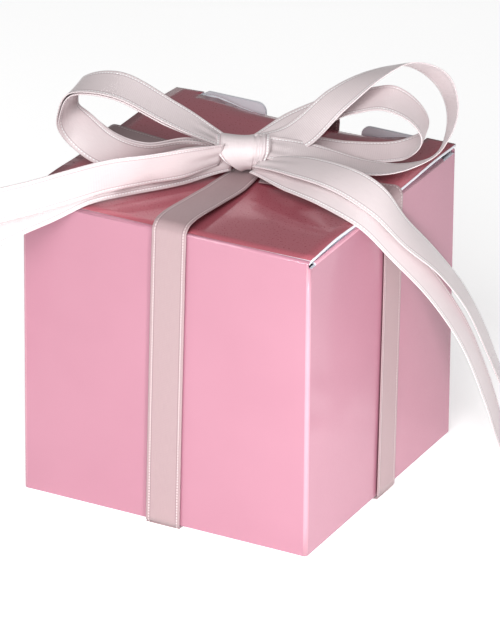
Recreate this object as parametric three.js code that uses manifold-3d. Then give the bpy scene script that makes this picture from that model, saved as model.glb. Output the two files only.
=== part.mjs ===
// Gift box: a folding carton with a tuck-in lid and a snap-lock base,
// tied with a crossed satin ribbon and a bow. Millimetres, +Z up,
// origin in the middle of the underside, on the surface the box stands on.
import * as THREE from 'three';
import { mergeVertices } from 'three/addons/utils/BufferGeometryUtils.js';
import Module from 'manifold-3d';

const wasm = await Module();
wasm.setup();

// ---------------------------------------------------------------- sizes
const boxWidth = 50.8;          // along X, outside
const boxDepth = 50.8;          // along Y, outside
const lidTop = 51.6;            // upper face of the lid
const board = 0.5;              // folding boxboard
const gap = 0.3;                // clearance between pieces that touch
const ribbonWidth = 6;
const ribbonThick = 0.3;

const halfWidth = boxWidth / 2;
const halfDepth = boxDepth / 2;
const boardPitch = board + gap;

// levels, from the table up: under ribbons, three layers of base, dust flaps, lid
const baseUnderside = ribbonThick + gap;
const baseMiddle = baseUnderside + boardPitch;
const baseUpper = baseMiddle + boardPitch;
const baseTongue = baseUpper + boardPitch;
const lidUnderside = lidTop - board;
const dustFlapTop = lidUnderside - gap;
const dustFlapUnderside = dustFlapTop - board;

// creases
const creaseClear = 0.4;        // from a crease line to the edge of the board it bends
const lidCreaseY = -halfDepth + board / 2;
const lidCreaseZ = lidTop - board / 2;
const tuckCreaseY = halfDepth - board - gap - board / 2 - 0.1;
const dustCreaseX = halfWidth - board / 2;
const dustCreaseZ = dustFlapTop - board / 2;

// tuck flap and its slit lock
const tuckDepth = 13;
const tuckHalfWidth = 19;       // the slits stop the crease this far from the middle
const tuckLean = 12;            // degrees that the flap leans into the box
const shoulderGap = 0.5;

// back panel: thumb notch in its top edge, raised behind the tuck crease
const notchHalfWidth = 8.7;
const notchDepth = 8.5;
const notchCorner = 1.5;
const raisedEdge = lidTop - 0.1;
const raisedHalfWidth = 19.2;
const shoulderHalfWidth = 20.3;

// dust flaps
const dustReach = 17;
const dustFrontMargin = 1.6;
const dustFrontTaper = 5.4;
const dustRearEdge = 21;
const dustRearTaper = 6;
const dustCorner = 2.5;

const glueTabWidth = 12;
const glueTabMargin = 2;

// snap-lock base
const baseReach = halfWidth - board - gap;
const frontBaseEdge = 6;
const tongueHalfWidth = 10;
const tongueReach = 8;
const sideFlapReach = 14;
const rearBaseEdge = -8;
const slotHalfWidth = tongueHalfWidth + 0.6;

// knot: a wrapped band whose axis runs along the bow
const knotCentre = new THREE.Vector3(1.3, -1.8, lidTop + 4.1);
const knotLength = 8;
const knotRadius = 3;
const bowTurn = THREE.MathUtils.degToRad(26);

// ---------------------------------------------------------------- colours
const pinkBoard = new THREE.MeshStandardMaterial({ color: 0xeea5b8, roughness: 0.35, metalness: 0 });
const whiteBoard = new THREE.MeshStandardMaterial({ color: 0xe9e8ec, roughness: 0.8, metalness: 0 });
const blushSatin = new THREE.MeshStandardMaterial({ color: 0xe9d6d8, roughness: 0.4, metalness: 0 });

const giftBox = new THREE.Group();

function addPiece(name, geometry, material, parent = giftBox) {
  const mesh = new THREE.Mesh(geometry, material.clone());
  mesh.name = name;
  parent.add(mesh);
  return mesh;
}

// ---------------------------------------------------------------- solids
function toSolid(geometry) {
  const plain = geometry.clone();
  plain.deleteAttribute('normal');
  plain.deleteAttribute('uv');
  const merged = mergeVertices(plain, 1e-5);
  return new wasm.Manifold(new wasm.Mesh({
    numProp: 3,
    vertProperties: new Float32Array(merged.attributes.position.array),
    triVerts: new Uint32Array(merged.index.array),
  }));
}

function toGeometry(solid) {
  const mesh = solid.getMesh();
  const geometry = new THREE.BufferGeometry();
  geometry.setAttribute('position', new THREE.BufferAttribute(mesh.vertProperties, 3));
  geometry.setIndex(new THREE.BufferAttribute(mesh.triVerts, 1));
  geometry.computeVertexNormals();
  return geometry;
}

// A box between two corners.
function slab(x0, x1, y0, y1, z0, z1) {
  const geometry = new THREE.BoxGeometry(x1 - x0, y1 - y0, z1 - z0);
  geometry.translate((x0 + x1) / 2, (y0 + y1) / 2, (z0 + z1) / 2);
  return geometry;
}

// A sheet of board cut to an outline in X and Y, its underside at height 0.
function sheet(shape) {
  return new THREE.ExtrudeGeometry(shape, { depth: board, bevelEnabled: false, curveSegments: 5 });
}

// Corner of an outline: runs to the corner and round it with the given radius.
function roundCorner(shape, from, corner, to, radius) {
  const start = new THREE.Vector2(...corner);
  const towardsFrom = new THREE.Vector2(...from).sub(start).normalize().multiplyScalar(radius);
  const towardsTo = new THREE.Vector2(...to).sub(start).normalize().multiplyScalar(radius);
  shape.lineTo(start.x + towardsFrom.x, start.y + towardsFrom.y);
  shape.quadraticCurveTo(start.x, start.y, start.x + towardsTo.x, start.y + towardsTo.y);
}

// ---------------------------------------------------------------- walls
function buildWalls() {
  addPiece('front_panel', slab(-halfWidth, halfWidth, -halfDepth, -halfDepth + board,
    baseUnderside, lidUnderside), pinkBoard);

  const sideDepth = halfDepth - board - gap;
  const sideTop = dustFlapUnderside;
  addPiece('left_panel', slab(-halfWidth, -halfWidth + board, -sideDepth, sideDepth,
    baseUnderside, sideTop), pinkBoard);
  addPiece('right_panel', slab(halfWidth - board, halfWidth, -sideDepth, sideDepth,
    baseUnderside, sideTop), pinkBoard);

  // The back panel is drawn in X and Z. Its top edge is low under the lid's two
  // shoulders, rises behind the tuck crease and dips into the thumb notch.
  const top = lidUnderside - gap;
  const notchFloor = raisedEdge - notchDepth;
  const outline = new THREE.Shape();
  outline.moveTo(-halfWidth, baseUnderside);
  outline.lineTo(halfWidth, baseUnderside);
  outline.lineTo(halfWidth, top);
  outline.lineTo(shoulderHalfWidth, top);
  outline.lineTo(raisedHalfWidth, raisedEdge);
  roundCorner(outline, [raisedHalfWidth, raisedEdge], [notchHalfWidth, raisedEdge],
    [notchHalfWidth, notchFloor], notchCorner);
  outline.lineTo(notchHalfWidth, notchFloor + notchDepth / 2);
  outline.quadraticCurveTo(notchHalfWidth, notchFloor, 0, notchFloor);
  outline.quadraticCurveTo(-notchHalfWidth, notchFloor, -notchHalfWidth, notchFloor + notchDepth / 2);
  roundCorner(outline, [-notchHalfWidth, notchFloor], [-notchHalfWidth, raisedEdge],
    [-raisedHalfWidth, raisedEdge], notchCorner);
  outline.lineTo(-raisedHalfWidth, raisedEdge);
  outline.lineTo(-shoulderHalfWidth, top);
  outline.lineTo(-halfWidth, top);
  const backPanel = sheet(outline);
  backPanel.rotateX(Math.PI / 2);
  backPanel.translate(0, halfDepth, 0);
  addPiece('back_panel', backPanel, pinkBoard);

  // Glue tab: the end of the sleeve, stuck behind the back panel.
  const tabOuter = halfDepth - board - gap;
  addPiece('glue_tab', slab(-baseReach, -baseReach + glueTabWidth, tabOuter - board, tabOuter,
    baseTongue + board + glueTabMargin, dustFlapUnderside - glueTabMargin - tuckDepth), whiteBoard);
}

// ---------------------------------------------------------------- base
function buildBase() {
  // Front flap, the outermost: its tongue climbs through the slot of the rear flap.
  const frontSheet = toSolid(slab(-baseReach, baseReach, -baseReach, frontBaseEdge,
    baseUnderside, baseUnderside + board));
  const riser = toSolid(slab(-tongueHalfWidth, tongueHalfWidth, frontBaseEdge - board, frontBaseEdge,
    baseUnderside, baseTongue + board));
  const tongue = toSolid(slab(-tongueHalfWidth, tongueHalfWidth, frontBaseEdge - board,
    frontBaseEdge + tongueReach, baseTongue, baseTongue + board));
  addPiece('base_front_flap', toGeometry(frontSheet.add(riser).add(tongue)), whiteBoard);

  // Side flaps, the middle layer, cut back so that the tongue passes between them.
  for (const [name, side] of [['base_left_flap', -1], ['base_right_flap', 1]]) {
    const outline = new THREE.Shape();
    outline.moveTo(side * baseReach, -baseReach + 1);
    outline.lineTo(side * (baseReach - sideFlapReach), -baseReach + 5);
    outline.lineTo(side * (baseReach - sideFlapReach), baseReach - 9);
    outline.lineTo(side * baseReach, baseReach - 1);
    outline.closePath();
    const flap = sheet(outline);
    flap.translate(0, 0, baseMiddle);
    addPiece(name, flap, whiteBoard);
  }

  // Rear flap, the innermost: it carries the load and has the slot.
  const rearSheet = toSolid(slab(-baseReach, baseReach, rearBaseEdge, baseReach,
    baseUpper, baseUpper + board));
  const slot = toSolid(slab(-slotHalfWidth, slotHalfWidth, frontBaseEdge - board - gap,
    frontBaseEdge + gap, baseUpper - 1, baseUpper + board + 1));
  addPiece('base_rear_flap', toGeometry(rearSheet.subtract(slot)), whiteBoard);
}

// ---------------------------------------------------------------- lid
function buildLid() {
  // The sheet runs from the front crease to the rear edge, where two shoulders
  // rest on the back panel and the middle stops at the tuck crease.
  const front = lidCreaseY + creaseClear;
  const middleRear = tuckCreaseY - creaseClear;
  const lidHalfWidth = halfWidth - 0.1;
  const outline = new THREE.Shape();
  outline.moveTo(-lidHalfWidth, front);
  outline.lineTo(lidHalfWidth, front);
  outline.lineTo(lidHalfWidth, halfDepth);
  outline.lineTo(shoulderHalfWidth + shoulderGap, halfDepth);
  outline.lineTo(tuckHalfWidth + shoulderGap, middleRear);
  outline.lineTo(-tuckHalfWidth - shoulderGap, middleRear);
  outline.lineTo(-shoulderHalfWidth - shoulderGap, halfDepth);
  outline.lineTo(-lidHalfWidth, halfDepth);
  outline.closePath();
  const lid = sheet(outline);
  lid.translate(0, 0, lidUnderside);
  addPiece('lid_panel', lid, pinkBoard);

  // The tuck flap hangs from its crease. It is drawn lying flat, then turned down.
  const flap = new THREE.Shape();
  const tip = creaseClear + tuckDepth;
  flap.moveTo(-tuckHalfWidth, creaseClear);
  flap.lineTo(tuckHalfWidth, creaseClear);
  roundCorner(flap, [tuckHalfWidth, creaseClear], [tuckHalfWidth - 1, tip], [0, tip], 6);
  roundCorner(flap, [0, tip], [-tuckHalfWidth + 1, tip], [-tuckHalfWidth, creaseClear], 6);
  flap.closePath();
  const flapSheet = sheet(flap);
  flapSheet.translate(0, 0, -board / 2);
  const tuckCrease = new THREE.Group();
  tuckCrease.position.set(0, tuckCreaseY, lidCreaseZ);
  tuckCrease.rotation.x = THREE.MathUtils.degToRad(-90 - tuckLean);
  giftBox.add(tuckCrease);
  addPiece('lid_tuck_flap', flapSheet, pinkBoard, tuckCrease);
}

// ---------------------------------------------------------------- dust flaps
function buildDustFlaps() {
  // Each leaves its side panel's top crease and lies under the lid.
  const frontEdge = -halfDepth + board + dustFrontMargin;
  for (const [name, side] of [['dust_flap_left', -1], ['dust_flap_right', 1]]) {
    const root = side * (dustCreaseX - creaseClear);
    const tip = side * (dustCreaseX - dustReach);
    const frontTip = [tip, frontEdge + dustFrontTaper];
    const rearTip = [tip, dustRearEdge - dustRearTaper];
    const outline = new THREE.Shape();
    outline.moveTo(root, frontEdge);
    roundCorner(outline, [root, frontEdge], frontTip, rearTip, dustCorner);
    roundCorner(outline, frontTip, rearTip, [root, dustRearEdge], dustCorner);
    outline.lineTo(root, dustRearEdge);
    outline.closePath();
    const flap = sheet(outline);
    flap.translate(0, 0, dustFlapUnderside);
    addPiece(name, flap, whiteBoard);
  }
}

// ---------------------------------------------------------------- ribbon
// A ribbon is a flat strip along a route. Each row of a route is a point of its
// middle line and the direction across it, from one selvedge to the other. The
// strip narrows towards an end that is gathered into the knot. A shift along the
// strip's face direction makes a second ribbon that follows the first.
function ribbonStrip(route, { steps = 40, gatherStart = 1, gatherEnd = 1, gatherSpan = 0.14, shift = 0 } = {}) {
  const points = route.map(([x, y, z]) => new THREE.Vector3(x, y, z));
  const acrosses = route.map(([, , , x, y, z]) => new THREE.Vector3(x, y, z).normalize());
  const middle = new THREE.CatmullRomCurve3(points, false, 'catmullrom', 0.5);
  const across = new THREE.CatmullRomCurve3(acrosses, false, 'catmullrom', 0.5);
  const strip = new THREE.BoxGeometry(ribbonThick, ribbonWidth, 1, 1, 1, steps);
  const position = strip.attributes.position;
  for (let i = 0; i < position.count; i += 1) {
    const along = THREE.MathUtils.clamp(position.getZ(i) + 0.5, 0, 1);
    const tangent = middle.getPoint(Math.min(along + 0.002, 1))
      .sub(middle.getPoint(Math.max(along - 0.002, 0))).normalize();
    const side = across.getPoint(along);
    side.addScaledVector(tangent, -side.dot(tangent)).normalize();
    const face = new THREE.Vector3().crossVectors(side, tangent);
    const fromStart = THREE.MathUtils.smoothstep(along, 0, gatherSpan);
    const fromEnd = THREE.MathUtils.smoothstep(1 - along, 0, gatherSpan);
    const narrow = THREE.MathUtils.lerp(gatherStart, 1, fromStart)
      * THREE.MathUtils.lerp(gatherEnd, 1, fromEnd);
    const place = middle.getPoint(along)
      .addScaledVector(face, position.getX(i) + shift)
      .addScaledVector(side, position.getY(i) * narrow);
    position.setXYZ(i, place.x, place.y, place.z);
  }
  return strip;
}

// Routes above the lid give their heights from the lid's upper face.
function aboveLid(rows) {
  return rows.map(([x, y, z, ...rest]) => [x, y, z + lidTop, ...rest]);
}

const outsideRight = halfWidth + gap + ribbonThick / 2;
const outsideBack = halfDepth + gap + ribbonThick / 2;
const outsideFront = -outsideBack;
const overLid = gap + ribbonThick / 2;
const strapFoot = ribbonThick + gap;

// Straps: up one side of the box, over the lid's edge and on to the knot.
const straps = {
  ribbon_strap_front: [
    [0, outsideFront, strapFoot, 1, 0, 0],
    [0.3, outsideFront, 18, 1, 0, 0],
    [0.7, outsideFront, 38, 1, 0, 0],
    [0.95, outsideFront, lidTop - 2.5, 1, 0, 0],
    [1, outsideFront + 0.4, lidTop + 0.5, 1, 0, 0],
    [1.1, -22.5, lidTop + 1.4, 1, 0, 0],
    [1.4, -15, lidTop + 1, 1, 0, 0],
    [1.7, -8, lidTop + 0.6, 1, 0, 0],
    [1.7, -3.5, lidTop + 0.5, 1, 0, 0],
  ],
  ribbon_strap_back: [
    [0.4, outsideBack, strapFoot, -1, 0, 0],
    [0.5, outsideBack, 18, -1, 0, 0],
    [0.8, outsideBack, 38, -1, 0, 0],
    [1.2, outsideBack, lidTop - 3, -1, 0, 0],
    [1.3, outsideBack, lidTop - 0.6, -1, 0, 0],
    [1.4, outsideBack - 0.8, lidTop + 0.5, -1, 0, 0],
    [1.6, outsideBack - 3, lidTop + 0.6, -1, 0, 0],
    [1.8, 10, lidTop + overLid, -1, 0, 0],
    [1.6, 0.2, lidTop + overLid, -1, 0, 0],
  ],
  ribbon_strap_right: [
    [outsideRight, 1.5, strapFoot, 0, 1, 0],
    [outsideRight, 2, 18, 0, 1, 0],
    [outsideRight, 2.5, 38, 0, 1, 0],
    [outsideRight, 2.5, lidTop - 3, 0, 1, 0],
    [outsideRight, 2.5, lidTop - 0.6, 0, 1, 0],
    [outsideRight - 0.8, 2.4, lidTop + 0.5, 0, 1, 0],
    [outsideRight - 3, 2.1, lidTop + 0.6, 0, 1, 0],
    [12, 0.3, lidTop + overLid, 0, 1, 0],
    [5, -1.2, lidTop + overLid, 0, 1, 0],
  ],
  ribbon_strap_left: [
    [-outsideRight, 1, strapFoot, 0, -1, 0],
    [-outsideRight, 1, 18, 0, -1, 0],
    [-outsideRight, 1, 38, 0, -1, 0],
    [-outsideRight, 1, lidTop - 2, 0, -1, 0],
    [-outsideRight + 0.3, 1, lidTop + 0.8, 0, -1, 0],
    [-21, 0.8, lidTop + 0.8, 0, -1, 0],
    [-10, 0, lidTop + overLid, 0, -1, 0],
    [-2, -1.4, lidTop + overLid, 0, -1, 0],
  ],
};

const loopLeft = aboveLid([
  [0, -2.6, 5.2, 0.4, -0.9, 0],
  [-9, -6.5, 10.5, 0.2, -0.9, -0.2],
  [-17, -9, 14.5, 0.2, -0.9, -0.3],
  [-24, -10, 13.5, 0.1, -1, -0.1],
  [-26, -10, 9, 0, -1, -0.1],
  [-24, -10, 6.2, -0.3, -0.8, -0.5],
  [-18, -11, 4.2, -0.3, -0.2, -0.9],
  [-12, -9.6, 3.8, -0.3, 0.3, -0.9],
  [-6.5, -5.2, 4.6, -0.2, 0.5, -0.8],
  [-1, -2.4, 4.2, -0.2, 0.5, -0.8],
]);
const loopRightOuter = aboveLid([
  [2.2, -0.2, 4.9, 0.8, -0.4, -0.4],
  [7.5, 4.5, 5.8, 0.8, -0.4, -0.3],
  [12, 9.5, 11, 0.8, -0.6, -0.2],
  [16.5, 14.5, 14.5, 0.7, -0.7, 0.2],
  [20.5, 18.5, 15.5, 0.6, -0.7, 0.5],
  [25, 20.5, 13, 0.6, -0.5, 0.6],
  [27.5, 19.5, 8, 0.6, -0.6, 0.5],
  [27.5, 15.5, 3.5, 0.5, -0.7, 0.5],
  [24.6, 10.6, 2.1, 0.6, -0.7, 0.3],
  [19.8, 6, 2.4, 0.6, -0.8, 0],
  [12.7, 2.5, 4.1, 0.5, -0.8, -0.2],
  [2.9, -1.6, 5.7, 0.4, -0.8, -0.5],
]);
const loopRightInner = aboveLid([
  [1.8, 0.5, 4.1, 0.7, -0.5, -0.4],
  [6.5, 8, 6.4, 0.6, -0.6, -0.4],
  [10.5, 12, 8.5, 0.4, -0.8, -0.3],
  [14.5, 13, 10, 0.2, -0.9, -0.3],
  [19.5, 13, 11.5, 0.1, -0.9, -0.3],
  [24, 13.5, 9.5, 0.2, -1, -0.1],
  [25.5, 13.5, 6, 0.3, -0.9, 0],
  [20.8, 14, 2.4, 0.5, -0.8, -0.1],
  [14.2, 9.9, 2.3, 0.5, -0.8, -0.2],
  [9.2, 5, 3.6, 0.5, -0.8, -0.4],
  [2.6, -1.3, 4, 0.4, -0.7, -0.5],
]);

// Tails: out of the knot, over the lid's edge and down to the table.
const tailLeftFront = aboveLid([
  [0, -4, 4.6, -0.2, 0.2, -0.9],
  [-3.4, -11.6, 5.1, -0.2, 0.2, -1],
  [-7.6, -16.8, 5.1, -0.2, 0.2, -1],
  [-11.9, -22, 5.1, -0.1, 0.1, -1],
  [-15.3, -28.1, 5, 0, 0.1, -1],
  [-18.9, -33.7, 4.6, 0, 0.1, -1],
  [-23.2, -38.4, 3.9, 0, 0.1, -1],
  [-28.6, -41.6, 2.3, -0.2, 0.3, -0.9],
  [-36.5, -42.4, -3.3, -0.5, 0.6, -0.6],
  [-43, -42, -13, -0.4, 0.8, -0.1],
  [-47, -43, -26, -0.2, 0.9, 0],
  [-50, -44, -39, -0.1, 1, 0],
  [-54, -45, -48.5, -0.1, 1, 0],
  [-61, -46, -51.2, -0.1, 1, 0],
  [-68, -47, -51.2, -0.1, 1, 0],
]);
const tailLeftRear = aboveLid([
  [0.6, -2.2, 3.3, 0.2, 0.1, -1],
  [-3.4, -7.9, 3.6, 0.2, 0.1, -1],
  [-6.8, -13.1, 3.6, 0.1, 0, -1],
  [-10.7, -18.3, 3.6, 0.1, 0, -1],
  [-14.8, -23.8, 3.4, 0.2, 0, -1],
  [-18.8, -29, 1.5, 0.2, 0, -1],
  [-22.9, -34, -0.3, 0.2, 0, -1],
  [-27.1, -38.2, -3.4, 0, 0.4, -0.9],
  [-31.2, -43.3, -9.2, -0.3, 0.7, -0.6],
  [-34, -48, -18, -0.4, 0.9, -0.1],
  [-37, -50, -30, -0.4, 0.9, 0],
  [-40, -52, -41.5, -0.4, 0.9, 0],
  [-44, -54.5, -49.5, -0.4, 0.9, 0],
  [-51, -58, -51.2, -0.4, 0.9, 0],
  [-58, -61, -51.2, -0.4, 0.9, 0],
]);
const tailRightOuter = aboveLid([
  [3.6, -2.9, 3.5, -0.2, -1, -0.1],
  [12.4, -3.9, 4.9, -0.2, -1, -0.2],
  [20.8, -5, 4.8, -0.2, -0.95, -0.3],
  [26.8, -4.9, 2.3, 0.1, -0.9, -0.4],
  [30, -1.9, -3.3, 0.35, -0.85, -0.4],
  [32.7, 3.9, -10, 0.5, -0.8, -0.3],
  [34.8, 10.1, -18.3, 0.5, -0.8, -0.3],
  [36, 15.5, -27.5, 0.45, -0.8, -0.35],
  [37.2, 19.5, -36, 0.5, -0.8, -0.3],
  [39, 23, -43.5, 0.6, -0.8, -0.2],
  [42.5, 26.5, -49.5, 0.7, -0.7, 0],
  [48.5, 30, -51.2, 0.6, -0.8, 0],
  [55, 33, -51.2, 0.5, -0.9, 0],
]);
const tailRightInner = aboveLid([
  [3.3, -2.4, 2.8, -0.3, -0.9, -0.3],
  [11.8, -5, 3.1, -0.2, -0.95, -0.3],
  [19, -6.9, 3.1, -0.1, -0.95, -0.4],
  [25.8, -7.3, 0.9, 0.1, -0.9, -0.4],
  [29.3, -3.8, -5, 0.2, -0.9, -0.4],
  [33, 2, -13.5, 0.3, -0.9, -0.4],
  [36.3, 7.3, -23.5, 0.3, -0.9, -0.3],
  [38.3, 11.8, -34.5, 0.3, -0.9, -0.3],
  [39.8, 15, -44, 0.3, -0.95, -0.2],
  [43, 16.5, -50, 0.2, -1, 0],
  [49.5, 17.2, -51.2, 0.1, -1, 0],
  [57, 17.8, -51.2, 0.1, -1, 0],
  [64, 18.5, -51.2, 0.1, -1, 0],
]);

function knotGeometry(clearance) {
  const length = knotLength + 2 * clearance;
  const radius = knotRadius + clearance;
  const waist = 0.86;
  const profile = [
    new THREE.Vector2(0, -length / 2),
    new THREE.Vector2(radius * waist, -length / 2),
    new THREE.Vector2(radius, -length / 4),
    new THREE.Vector2(radius, length / 4),
    new THREE.Vector2(radius * waist, length / 2),
    new THREE.Vector2(0, length / 2),
  ];
  const barrel = new THREE.LatheGeometry(profile, 20);
  barrel.rotateZ(-Math.PI / 2);
  barrel.rotateZ(bowTurn);
  barrel.translate(knotCentre.x, knotCentre.y, knotCentre.z);
  return barrel;
}

function buildRibbon() {
  const gathered = 0.5;
  const liningShift = ribbonThick + 1.5 * gap;
  const liningSetback = 2.2;     // the lining stops short of the knot, where the strands meet
  const cut = (geometry, clearance = gap) => (
    toGeometry(toSolid(geometry).subtract(toSolid(knotGeometry(clearance)))));

  addPiece('ribbon_knot', knotGeometry(0), blushSatin);
  for (const [name, route] of Object.entries(straps)) {
    addPiece(name, cut(ribbonStrip(route, { steps: 36, gatherEnd: 0.8 })), blushSatin);
  }
  const loops = [
    ['bow_loop_left', loopLeft, 0, gap],
    ['bow_loop_left_lining', loopLeft, liningShift, liningSetback],
    ['bow_loop_right_outer', loopRightOuter, 0, gap],
    ['bow_loop_right_inner', loopRightInner, 0, gap],
  ];
  for (const [name, route, shift, clearance] of loops) {
    const strip = ribbonStrip(route, { steps: 80, gatherStart: gathered, gatherEnd: gathered, shift });
    addPiece(name, cut(strip, clearance), blushSatin);
  }
  const tails = {
    tail_left_front: tailLeftFront,
    tail_left_rear: tailLeftRear,
    tail_right_outer: tailRightOuter,
    tail_right_inner: tailRightInner,
  };
  for (const [name, route] of Object.entries(tails)) {
    addPiece(name, cut(ribbonStrip(route, { steps: 52, gatherStart: gathered })), blushSatin);
  }

  // Ribbons that cross under the base.
  const crossHalf = ribbonWidth / 2;
  const underEnd = halfWidth + gap + ribbonThick;
  addPiece('ribbon_under_front_back', slab(-crossHalf, crossHalf, -underEnd, underEnd,
    0, ribbonThick), blushSatin);
  addPiece('ribbon_under_left', slab(-underEnd, -crossHalf - gap, -2, 4, 0, ribbonThick), blushSatin);
  addPiece('ribbon_under_right', slab(crossHalf + gap, underEnd, -1.5, 4.5, 0, ribbonThick), blushSatin);
}

buildWalls();
buildBase();
buildLid();
buildDustFlaps();
buildRibbon();

export default giftBox;
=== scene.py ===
# %% [markdown]
# A small favour box: a folding carton of gloss-coated pink boxboard, tied with a crossed satin ribbon
# and a bow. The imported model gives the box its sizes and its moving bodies. Everything below makes the
# fine surfaces around it, in metres and in the same frame.

# %% Load the frame
import math
import bpy
import bmesh
from mathutils import Matrix, Vector


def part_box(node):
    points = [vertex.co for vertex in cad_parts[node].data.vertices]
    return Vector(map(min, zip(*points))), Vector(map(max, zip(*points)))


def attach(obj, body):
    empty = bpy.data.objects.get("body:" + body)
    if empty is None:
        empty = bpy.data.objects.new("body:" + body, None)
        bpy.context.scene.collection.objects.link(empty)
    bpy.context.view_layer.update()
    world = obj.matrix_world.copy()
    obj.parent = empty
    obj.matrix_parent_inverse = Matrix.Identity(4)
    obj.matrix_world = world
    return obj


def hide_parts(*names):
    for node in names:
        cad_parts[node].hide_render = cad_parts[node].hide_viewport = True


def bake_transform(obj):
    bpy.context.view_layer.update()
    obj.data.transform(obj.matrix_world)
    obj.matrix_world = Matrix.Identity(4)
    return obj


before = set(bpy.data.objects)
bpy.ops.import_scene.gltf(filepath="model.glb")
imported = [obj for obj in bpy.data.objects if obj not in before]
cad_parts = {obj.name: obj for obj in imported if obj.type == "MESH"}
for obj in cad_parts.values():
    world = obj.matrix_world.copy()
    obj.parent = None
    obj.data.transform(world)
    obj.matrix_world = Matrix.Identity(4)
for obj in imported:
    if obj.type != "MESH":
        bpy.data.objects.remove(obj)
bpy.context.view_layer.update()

# %% [markdown]
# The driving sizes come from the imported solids, so that the looks follow the moving frame. The finer
# sizes, such as the thumb notch's and the tuck flap's, are given where they are used. The board is half a
# millimetre thick and the ribbon is the common 6 mm satin. Lengths are in metres, apart from those that are
# said to be in mm.

# %% Sizes
MM = 0.001
front_low, front_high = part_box("front_panel")
right_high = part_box("right_panel")[1]
back_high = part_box("back_panel")[1]
lid_low, lid_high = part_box("lid_panel")
half_width = front_high[0]
half_depth = -front_low[1]
wall_foot = front_low[2]
lid_top = lid_high[2]
lid_underside = lid_low[2]
board = lid_top - lid_underside
gap = 0.3 * MM
ribbon_width = 6 * MM
ribbon_thick = 0.16 * MM

# in mm, as the ribbon's UV map is
half_ribbon = ribbon_width / MM / 2
print(f"box {2000 * half_width:.1f} x {2000 * half_depth:.1f} x {1000 * lid_top:.1f} mm,",
      f"board {1000 * board:.2f} mm")

# %% [markdown]
# The camera stands 1.1 metres away with a long lens, as in product photography, so that the box's upright
# edges stay nearly parallel. It looks down on the lid from over the box's near corner.

# %% Camera
camera_turn = math.radians(27.6154)
camera_tilt = math.radians(25.5198)
camera_roll = math.radians(-0.4879)
camera_distance = 1.11363
aim = Vector((0, 0, 0.0254))
aim_offset = (1.6085 * MM, 1.1294 * MM)

towards_camera = Vector((
    math.sin(camera_turn) * math.cos(camera_tilt),
    -math.cos(camera_turn) * math.cos(camera_tilt),
    math.sin(camera_tilt),
))
level_right = Vector((math.cos(camera_turn), math.sin(camera_turn), 0))
level_up = towards_camera.cross(level_right)
view_right = level_right * math.cos(camera_roll) - level_up * math.sin(camera_roll)
view_up = level_right * math.sin(camera_roll) + level_up * math.cos(camera_roll)
camera_data = bpy.data.cameras.new("long_lens")
camera_data.lens = 401.4
camera_data.sensor_width = 36
camera_data.clip_end = 20
camera = bpy.data.objects.new("camera", camera_data)
bpy.context.collection.objects.link(camera)
bpy.context.scene.camera = camera
camera_place = aim + view_right * aim_offset[0] + view_up * aim_offset[1] + towards_camera * camera_distance
turn = Matrix((view_right, view_up, towards_camera)).transposed().to_4x4()
camera.matrix_world = Matrix.Translation(camera_place) @ turn
print("camera at", [round(value, 3) for value in camera_place])

# %% [markdown]
# Every material is built from nodes. One helper turns the usual web colours, which are sRGB, into the
# linear numbers that the renderer works with, and one helper adds a node with its settings and links.

# %% Material helpers
def linear(web_colour):
    """An sRGB colour such as "#eea5b8" as linear red, green, blue and alpha."""
    channels = [int(web_colour[i:i + 2], 16) / 255 for i in (1, 3, 5)]
    straight = [c / 12.92 if c <= 0.04045 else ((c + 0.055) / 1.055) ** 2.4 for c in channels]
    return (*straight, 1.0)


def add_node(material, kind, inputs=None, **settings):
    """Adds one node. Each input is a value to set or another node's output to link."""
    node = material.node_tree.nodes.new(kind)
    for setting, value in settings.items():
        setattr(node, setting, value)
    for socket, value in (inputs or {}).items():
        if isinstance(value, bpy.types.NodeSocket):
            material.node_tree.links.new(value, node.inputs[socket])
        else:
            node.inputs[socket].default_value = value
    return node


def start_material(name):
    """An empty node material and its surface shader, joined to the output."""
    material = bpy.data.materials.new(name)
    material.use_nodes = True
    material.node_tree.nodes.clear()
    shader = add_node(material, "ShaderNodeBsdfPrincipled")
    add_node(material, "ShaderNodeOutputMaterial", {"Surface": shader.outputs["BSDF"]})
    return material, shader


def join(material, output, socket):
    """Links a node's output to a socket of another node."""
    material.node_tree.links.new(output, socket)


# %% [markdown]
# Each visible piece is a mesh of its own. The first helper turns a finished bmesh into an object in the
# scene. The second is a soft ramp, used wherever one stretch of a shape passes gently into the next.

# %% Shape helpers
def mesh_piece(name, mesh):
    """An object made of the mesh, which is freed."""
    data = bpy.data.meshes.new(name)
    mesh.to_mesh(data)
    mesh.free()
    piece = bpy.data.objects.new(name, data)
    bpy.context.collection.objects.link(piece)
    return piece


def smooth_step(value, end):
    """0 up to 0 and 1 from the end on, with a soft start and stop in between."""
    part = max(0.0, min(1.0, value / end))
    return part * part * (3 - 2 * part)


# %% [markdown]
# The ribbon is woven polyester satin in pale blush. Satin floats its warp threads over several weft
# threads, so it shines along its length, and fine cross ribs show where the weft pulls. Both selvedges
# carry a line of tiny stitches about half a millimetre in, with a thin painted shadow line just inside
# each. The thread spacing of the real cloth is near 0.1 mm. It is drawn at 0.3 mm here, because finer
# threads would not show. The cloth is thin, so where it lies flat on the carton the pink board shows
# through it, and no light comes through it from behind as it does in the free loops and tails. That is
# drawn as a second satin in pinker, darker colours, for the straps and the ribbon under the base: the
# pink tint is the board, and the darkness is painted shade.

# %% Satin
# places across the ribbon, out from its middle, and spacings along it, in mm
rib_spacing = 0.3
stitch_spacing = 0.5
stitch_share = 0.6
stitch_place = 2.5
stitch_half_width = 0.1
# inside each line of stitches lies a thin painted shadow line, which has no relief of its own
painted_shadow_line_place = 2.3
painted_shadow_line_half_width = 0.07
selvedge_place = 2.55

# heights of the surface, as shares of the bump's depth
rib_height_share = 0.16
selvedge_height_share = 0.5
stitch_height_share = 0.7


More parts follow.
